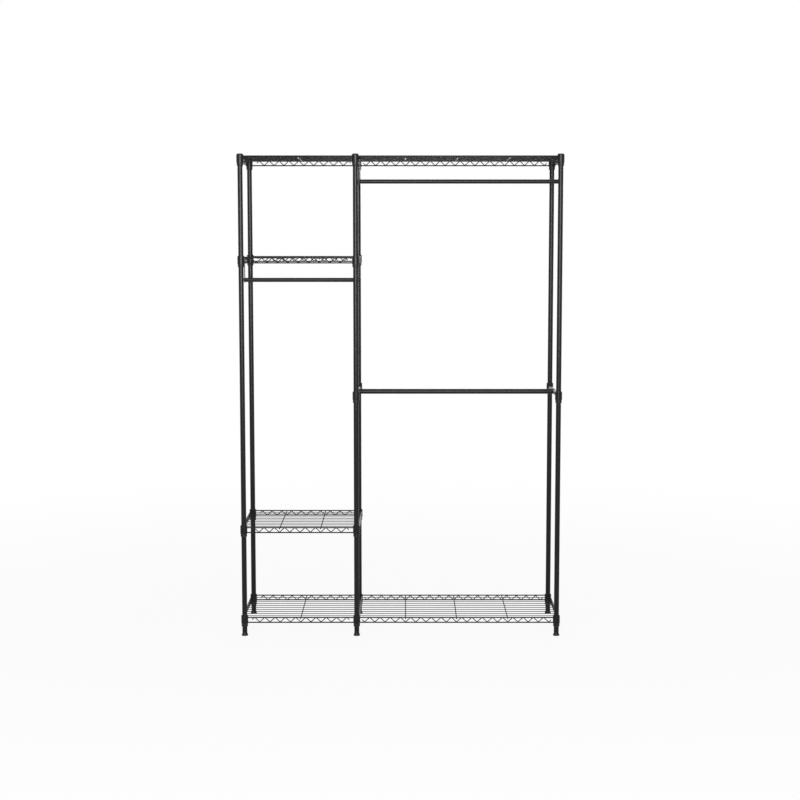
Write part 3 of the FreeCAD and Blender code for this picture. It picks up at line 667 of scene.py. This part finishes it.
def crossPlaces(columns, start, end):
    # front-to-back wires stand over low bends of the zigzag, counted in pitches from the bay's middle
    span, middle = columnX[end] - columnX[start], (columnX[start] + columnX[end]) / 2
    if len(columns) == 2:
        step = round(span / deckShape["pairParts"] / trussShape["pitch"])
        steps = (-step, step)
    elif start == "left":
        steps = (0,)
    else:
        step = round(span / deckShape["tripleParts"] / trussShape["pitch"])
        steps = (-step, 0, step)
    return [middle + step * trussShape["pitch"] for step in steps]


def makeDeck(level):
    facts = levels[level]
    columns = shelfColumns[level]
    frontY, rearY = facts["frontY"], -facts["frontY"]
    past = wires["edge"] / 2
    lines = frontY + (rearY - frontY) * np.arange(1, deckShape["count"] + 1) / (deckShape["count"] + 1)
    deckStarts, deckEnds, crossX, welds = [], [], [], []
    for start, end in zip(columns[:-1], columns[1:]):
        low = columnX[start] + facts["offset"] * outward[start] + past - deckShape["sink"]
        high = columnX[end] + facts["offset"] * outward[end] - past + deckShape["sink"]
        deckStarts += [(low, y, facts["deckZ"]) for y in lines]
        deckEnds += [(high, y, facts["deckZ"]) for y in lines]
        here = crossPlaces(columns, start, end)
        crossX += here
        welds += [(x, y, facts["deckZ"] - wires["deck"] / 2) for x in here for y in lines]
        welds += [(x, y, facts["deckZ"]) for x in (low, high) for y in lines]
    crossStarts = [(x, frontY - past, facts["crossZ"]) for x in crossX]
    crossEnds = [(x, rearY + past, facts["crossZ"]) for x in crossX]
    crossTop = facts["crossZ"] + wires["cross"] / 2
    crossWelds = [(x, y, crossTop) for x in crossX for y in (frontY, rearY)]
    bead = deckShape["bead"]
    shapes = [
        roundWires(deckStarts, deckEnds, wires["deck"], deckShape["sides"]),
        roundWires(crossStarts, crossEnds, wires["cross"], deckShape["crossSides"]),
        beads(welds, bead * np.array(deckShape["deckBead"])),
        beads(crossWelds, bead * np.array(deckShape["crossBead"])),
    ]
    piece(f"{level}_deck", [(shape, False, True) for shape in shapes],
          "frame", [f"{level}_shelf_deck"], wireCoat)


for level in shelfColumns:
    makeCollars(level)
    makeTrusses(level)
    makeDeck(level)
    print(level, "shelf made")


# Clothes rods, their hangers and bolts

rodShape = {"wall": 0.0010, "edge": 0.0006, "turns": 48}
hangerShape = {"thick": 0.0015, "clear": 0.0001, "lip": 0.0070, "drop": 0.086, "width": 0.024,
               "bend": 0.0022, "ease": 0.0006, "rowsAcross": 17, "tongueSteps": 14}
plugShape = {"ease": 0.0004}
boltShape = {"socket": 0.0021, "socketDepth": 0.0016, "mouth": 1.25, "thick": 0.0026, "shank": 0.0030,
             "reach": 0.0180, "railReach": 0.0300, "turns": 48, "sharp": 30, "edge": 0.0010,
             "brow": ((2.0, 0.15), (0.7, 0.5), (0.0, 1.4)), "under": 0.2}  # the head's rim, in edges
rods = {"left_rod": ("second", "left", "mid"), "right_rod": ("top", "mid", "right")}


def rodTube(node, name):
    # a tube laid along X, where the frame has the rod
    low, high = corners(node)
    radius = (high[2] - low[2]) / 2
    section = tubeProfile(radius, rodShape["wall"], low[0], high[0], rodShape["edge"])
    middle = (0, (low[1] + high[1]) / 2, (low[2] + high[2]) / 2)
    tube = alongX(lathe(section, rodShape["turns"])) + middle
    piece(name, [(tube, True, True)], "frame", [node], rodCoat)
    return low, high


def boltHead(headRadius, reach):
    # a low domed head with a hexagon socket, as rings round X: from the socket's floor over the head and
    # along the shank to its tip
    shape = boltShape
    socket, shank, edge = shape["socket"], shape["shank"], shape["edge"]
    face, floor, under = -shape["thick"], -shape["thick"] + shape["socketDepth"], edge * shape["under"]
    angle = np.linspace(0, 2 * math.pi, shape["turns"], endpoint=False)
    hexagon = 1 / np.cos((angle + math.pi / 6) % (math.pi / 3) - math.pi / 6)
    # radius, height and 1 where the ring is a hexagon
    rings = [(0, floor, 0), (socket, floor, 1), (socket, face, 1), (socket * shape["mouth"], face, 0)]
    rings += [(headRadius - edge * inward, face + edge * down, 0) for inward, down in shape["brow"]]
    rings += [(headRadius, -under, 0), (headRadius - under, 0, 0), (shank, 0, 0),
              (shank, reach - edge, 0), (shank - edge, reach, 0), (0, reach, 0)]
    table = np.array(rings)
    radius = table[:, :1] * np.where(table[:, 2:] > 0, hexagon, 1.0)
    return alongX(np.stack([radius * np.cos(angle), radius * np.sin(angle), table[:, 1:2] + 0 * angle], -1))


def hangerStrip():
    # mid-surface of the bent strap: a line from the lip over the wire and down to the rod, carried across
    # its width, with the width closing in a half circle at the tongue
    shape = hangerShape
    out = wires["edge"] / 2 + shape["clear"] + shape["thick"] / 2
    seat = hexCorner + shape["thick"] / 2
    half = shape["width"] / 2
    corner = rounded([(-out, hexCorner - shape["lip"]), (-out, seat), (out, seat), (out, -shape["drop"])],
                     shape["bend"], steps=6, closed=False)
    share = np.sin(np.linspace(0, math.pi / 2, shape["tongueSteps"]))[1:]
    tongue = np.stack([np.full(len(share), out), -shape["drop"] - half * share], 1)
    line = np.concatenate([corner, tongue])
    width = np.concatenate([np.full(len(corner), half), half * np.sqrt(np.clip(1 - share ** 2, 0, 1))])
    width[0] -= shape["ease"]
    across = np.linspace(-1, 1, shape["rowsAcross"])
    return np.stack([line[:, :1] + 0 * across, width[:, None] * across, line[:, 1:] + 0 * across], -1)


def endPlug(face, tip, radius):
    # flange between the hanger and the rod's end, with both rims eased
    ease = plugShape["ease"]
    inward = ease if tip > face else -ease
    profile = [(0, face), (radius - ease, face), (radius, face + inward), (radius, tip - inward),
               (radius - ease, tip), (0, tip)]
    return alongX(lathe(profile, rodShape["turns"]))


def makeHungRods():
    strip = hangerStrip()
    plate, thick = wires["edge"] / 2 + hangerShape["clear"], hangerShape["thick"]
    plugLow, plugHigh = corners("hung_rod_plugs")
    boltLow, boltHigh = corners("hung_rod_bolts")
    flange, headRadius = (plugHigh[1] - plugLow[1]) / 2, (boltHigh[1] - boltLow[1]) / 2
    head = boltHead(headRadius, boltShape["reach"])
    straps, plugs, bolts = [], [], []
    for node, (level, start, end) in rods.items():
        low, high = rodTube(node, node + "_tube")
        z, facts = (low[2] + high[2]) / 2, levels[level]
        startX, endX = [columnX[column] + facts["offset"] * outward[column] for column in (start, end)]
        straps += [(strip + (x, 0, facts["upperZ"]), False, False) for x in (startX, endX)]
        faces = (startX + plate + thick, endX + plate)
        plugs += [(endPlug(face, tip, flange) + (0, 0, z), False, True)
                  for face, tip in zip(faces, (low[0], high[0]))]
        bolts += [(head + (faces[0] - thick, 0, z), False, True),
                  (head * (-1, 1, 1) + (faces[1] + thick, 0, z), False, True)]
    made = piece("rod_hanger_straps", straps, "frame", ["rod_hangers"], tubeCoat)
    wall = made.modifiers.new("wall", "SOLIDIFY")
    wall.thickness = thick
    wall.offset = 0
    piece("hung_rod_end_plugs", plugs, "frame", ["hung_rod_plugs"], sleevePlastic)
    piece("hung_rod_head_bolts", bolts, "frame", ["hung_rod_bolts"], tubeCoat,
          boltShape["sharp"])


makeHungRods()
print("hung rods made")


# Middle rod on its two side rails

railShape = {"radius": 0.0080, "turns": 40, "bead": 0.0011, "beadSteps": 8, "beadSwell": 0.6}
saddleShape = {"clear": 0.0001, "wrap": 0.0040, "slices": 29, "alongSteps": 4, "arcSteps": 25}


def railBar(x, low, high, z, radius, collarRadius):
    # a tube along Y whose two ends follow the curve of the post collars
    angle = np.linspace(0, 2 * math.pi, railShape["turns"], endpoint=False)
    across, height = x + radius * np.cos(angle), z + radius * np.sin(angle)
    reach = np.sqrt(collarRadius ** 2 - (across - x) ** 2) - trussShape["weldSink"]
    middle = collarRadius - trussShape["weldSink"]
    along = np.stack([0 * angle + low + middle, low + reach, high - reach, 0 * angle + high - middle])
    return np.stack([np.stack([0 * angle + x, across, across, 0 * angle + x]), along,
                     np.stack([0 * angle + z, height, height, 0 * angle + z])], -1)


def weldRing(x, y, z, radius, collarRadius, side):
    # a low fillet of weld round the rail where it meets the collar, along the curve they share
    angle = np.linspace(0, 2 * math.pi, railShape["turns"], endpoint=False)
    across = radius * np.cos(angle)
    reach = np.sqrt(collarRadius ** 2 - across ** 2)
    around = np.linspace(0, 2 * math.pi, railShape["beadSteps"], endpoint=False)[:, None]
    bead = railShape["bead"]
    swell = radius + bead * railShape["beadSwell"] * np.cos(around)
    return np.stack([x + swell * np.cos(angle), y + side * (reach + bead * np.sin(around)) + 0 * around,
                     z + swell * np.sin(angle)], -1)


def snapSaddle(x, z, tip, radius, side):
    # a clip moulded as a C round the rail: slices across Y, each a ring that runs along the top from the
    # rod's end to the upper lip, back round the rail's bore to the lower lip, and home along the bottom
    shape = saddleShape
    bore = railShape["radius"] + shape["clear"]
    y = -radius * np.cos(np.linspace(0, math.pi, shape["slices"]))[:, None]
    half = np.sqrt(np.clip(radius ** 2 - y ** 2, 0, None))
    lip = math.acos(-shape["wrap"] / bore) - math.pi / 2
    past = np.clip((half - bore) / (radius - bore), 0, 1)
    reach = np.where(half < bore, np.arcsin(np.clip(half / bore, 0, 1)), math.pi / 2 + lip * np.sqrt(past))
    share = np.linspace(0, 1, shape["alongSteps"])
    arc = reach * np.linspace(1, -1, shape["arcSteps"])
    away = (tip - x) * side
    edge = bore * np.cos(reach)
    run = away + (edge - away) * share
    ring = np.concatenate([run, bore * np.cos(arc), run[:, ::-1]], 1)
    height = np.concatenate([half + 0 * share, bore * np.sin(arc), -half + 0 * share], 1)
    return np.stack([x + side * ring, y + 0 * ring, z + height], -1)


def makeMiddleRod():
    low, high = rodTube("middle_rod", "middle_rod_tube")
    z, radius = (low[2] + high[2]) / 2, (high[2] - low[2]) / 2
    bar = railShape["radius"]
    for column in railColumns:
        node = f"rail_{column}"
        boxLow, boxHigh = corners(node)
        x = columnX[column]
        collarRadius = (boxHigh[0] - boxLow[0]) / 2
        ring = lathe(collarRing(collarRadius, boxLow[2], boxHigh[2]), collarShape["turns"])
        places = [(*postSpots[row, column], 0) for row in rows]
        grids = [(railBar(x, rowY["front"], rowY["rear"], z, bar, collarRadius), False, True),
                 (copied(ring, places), True, True)]
        grids += [(weldRing(x, rowY[row], z, bar, collarRadius, side), True, True)
                  for row, side in (("front", 1), ("rear", -1))]
        piece(f"side_rail_{column}", grids, "frame", [node], tubeCoat)
    makeSleeves("rail", railColumns, boxLow[2], boxHigh[2])
    boltLow, boltHigh = corners("middle_rod_bolts")
    head = boltHead((boltHigh[1] - boltLow[1]) / 2, boltShape["railReach"])
    saddles, bolts = [], []
    for column, tip, side in (("mid", low[0], 1), ("right", high[0], -1)):
        x = columnX[column]
        saddles.append((snapSaddle(x, z, tip, radius, side), False, True))
        bolts.append((head * (side, 1, 1) + (x - side * bar, 0, z), False, True))
    piece("middle_rod_end_saddles", saddles, "frame", ["middle_rod_saddles"],
          sleevePlastic)
    piece("middle_rod_head_bolts", bolts, "frame", ["middle_rod_bolts"], tubeCoat,
          boltShape["sharp"])


makeMiddleRod()
print("middle rod made")


# Floor, light and camera

stageLook = {"floorHalf": 60.0, "floorColour": (0.9, 0.9, 0.9), "glowNear": 0.91, "glowFar": 1.0,
             "fadeStart": 0.8, "fadeEnd": 4.0, "ambient": 0.25}


def seenRays(tree):
    # 1 for rays from the camera, from a shiny surface or through glass, 0 for the rest
    path = addNode(tree, "ShaderNodeLightPath", (-900, 0))
    direct = addNode(tree, "ShaderNodeMath", (-680, 60), operation="MAXIMUM")
    every = addNode(tree, "ShaderNodeMath", (-480, 60), operation="MAXIMUM")
    link = tree.links.new
    link(path.outputs["Is Camera Ray"], direct.inputs[0])
    link(path.outputs["Is Glossy Ray"], direct.inputs[1])
    link(direct.outputs[0], every.inputs[0])
    link(path.outputs["Is Transmission Ray"], every.inputs[1])
    return every.outputs[0]


def makeFloor():
    half = stageLook["floorHalf"]
    mesh = bpy.data.meshes.new("studioFloor")
    square = [(-half, -half, 0), (half, -half, 0), (half, half, 0), (-half, half, 0)]
    mesh.from_pydata(square, [], [(0, 1, 2, 3)])
    floor = bpy.data.objects.new("studioFloor", mesh)
    bpy.context.scene.collection.objects.link(floor)
    material = bpy.data.materials.new("paleFloor")
    material.use_nodes = True
    tree = material.node_tree
    tree.nodes.clear()
    matte = addNode(tree, "ShaderNodeBsdfDiffuse", (-200, 100), in_Color=(*stageLook["floorColour"], 1))
    glow = addNode(tree, "ShaderNodeEmission", (-200, -100))
    # white where it is seen, with more of the real floor and its shadows near the object
    spot = addNode(tree, "ShaderNodeTexCoord", (-900, 550))
    away = addNode(tree, "ShaderNodeVectorMath", (-700, 550), operation="LENGTH")
    fade = addNode(tree, "ShaderNodeMapRange", (-450, 550), interpolation_type="SMOOTHSTEP",
                   in_From_Min=stageLook["fadeStart"], in_From_Max=stageLook["fadeEnd"],
                   in_To_Min=stageLook["glowNear"], in_To_Max=stageLook["glowFar"])
    share = addNode(tree, "ShaderNodeMath", (-200, 300), operation="MULTIPLY")
    mixed = addNode(tree, "ShaderNodeMixShader", (50, 100))
    out = addNode(tree, "ShaderNodeOutputMaterial", (300, 100))
    link = tree.links.new
    link(spot.outputs["Object"], away.inputs[0])
    link(away.outputs["Value"], fade.inputs["Value"])
    link(seenRays(tree), share.inputs[0])
    link(fade.outputs["Result"], share.inputs[1])
    link(share.outputs[0], mixed.inputs[0])
    link(matte.outputs[0], mixed.inputs[1])
    link(glow.outputs[0], mixed.inputs[2])
    link(mixed.outputs[0], out.inputs["Surface"])
    mesh.materials.append(material)
    floor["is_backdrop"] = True


def makeWorld():
    # white where it is seen, and a low even light on everything else
    world = bpy.data.worlds.new("studio")
    bpy.context.scene.world = world
    world.use_nodes = True
    tree = world.node_tree
    tree.nodes.clear()
    shine = addNode(tree, "ShaderNodeBackground", (140, 60), in_Color=(1, 1, 1, 1))
    out = addNode(tree, "ShaderNodeOutputWorld", (340, 60))
    link = tree.links.new
    link(ramp(tree, seenRays(tree), stageLook["ambient"], 1.0, (-80, 60)), shine.inputs["Strength"])
    link(shine.outputs[0], out.inputs["Surface"])


lamps = {
    "frontPanel": {"place": (0.0, -4.4, 1.85), "width": 6.0, "height": 2.2, "radiance": 4.0},
    "sheenPanel": {"place": (0.1, -4.4, 1.85), "width": 1.4, "height": 2.2, "radiance": 26.0,
                   "onlyGloss": True, "aim": (-0.70, 0.0, 1.75), "spread": 80.0},  # gridded, aimed left
    "rearPanel": {"place": (0.6, 4.2, 2.4), "width": 3.6, "height": 1.4, "radiance": 3.0},
    "topPanel": {"place": (0.0, 0.0, 4.6), "width": 2.6, "height": 1.6, "radiance": 2.0},
}


def makeLamps():
    middle = (0, 0, (cadLow[2] + cadHigh[2]) / 2)
    for name, lamp in lamps.items():
        light = bpy.data.lights.new(name, "AREA")
        light.shape = "RECTANGLE"
        light.size, light.size_y = lamp["width"], lamp["height"]
        light.energy = lamp["radiance"] * math.pi * lamp["width"] * lamp["height"]
        if "spread" in lamp:
            # a grid gathers the light ahead, so the power comes down to keep the radiance there
            light.spread = math.radians(lamp["spread"])
            light.energy *= 1 - light.spread / 2 / math.tan(light.spread / 2)
        holder = bpy.data.objects.new(name, light)
        bpy.context.scene.collection.objects.link(holder)
        holder.visible_camera = False
        holder.visible_diffuse = not lamp.get("onlyGloss", False)
        holder.location = lamp["place"]
        back = np.array(lamp["place"]) - lamp.get("aim", middle)
        tilt = math.acos(back[2] / np.linalg.norm(back))
        holder.rotation_euler = (tilt, 0, math.atan2(back[0], -back[1]))


view = {"place": (0.0175, -5.498, 1.497), "pitch": 5.4, "lens": 65.05, "sensor": 36.0,
        "shiftX": -0.0065, "shiftY": -0.0334}


def makeCamera():
    # the photograph's viewpoint, tilted down to the object, with a little lens shift so that the uprights
    # lean less
    camera = bpy.data.cameras.new("photoCamera")
    camera.lens, camera.sensor_width = view["lens"], view["sensor"]
    camera.shift_x, camera.shift_y = view["shiftX"], view["shiftY"]
    holder = bpy.data.objects.new("photoCamera", camera)
    bpy.context.scene.collection.objects.link(holder)
    holder.location = view["place"]
    holder.rotation_euler = (math.radians(90 - view["pitch"]), 0, 0)
    bpy.context.scene.camera = holder


makeFloor()
makeWorld()
makeLamps()
makeCamera()
bpy.context.scene.view_settings.view_transform = "Standard"
print("stage set")

low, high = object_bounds()
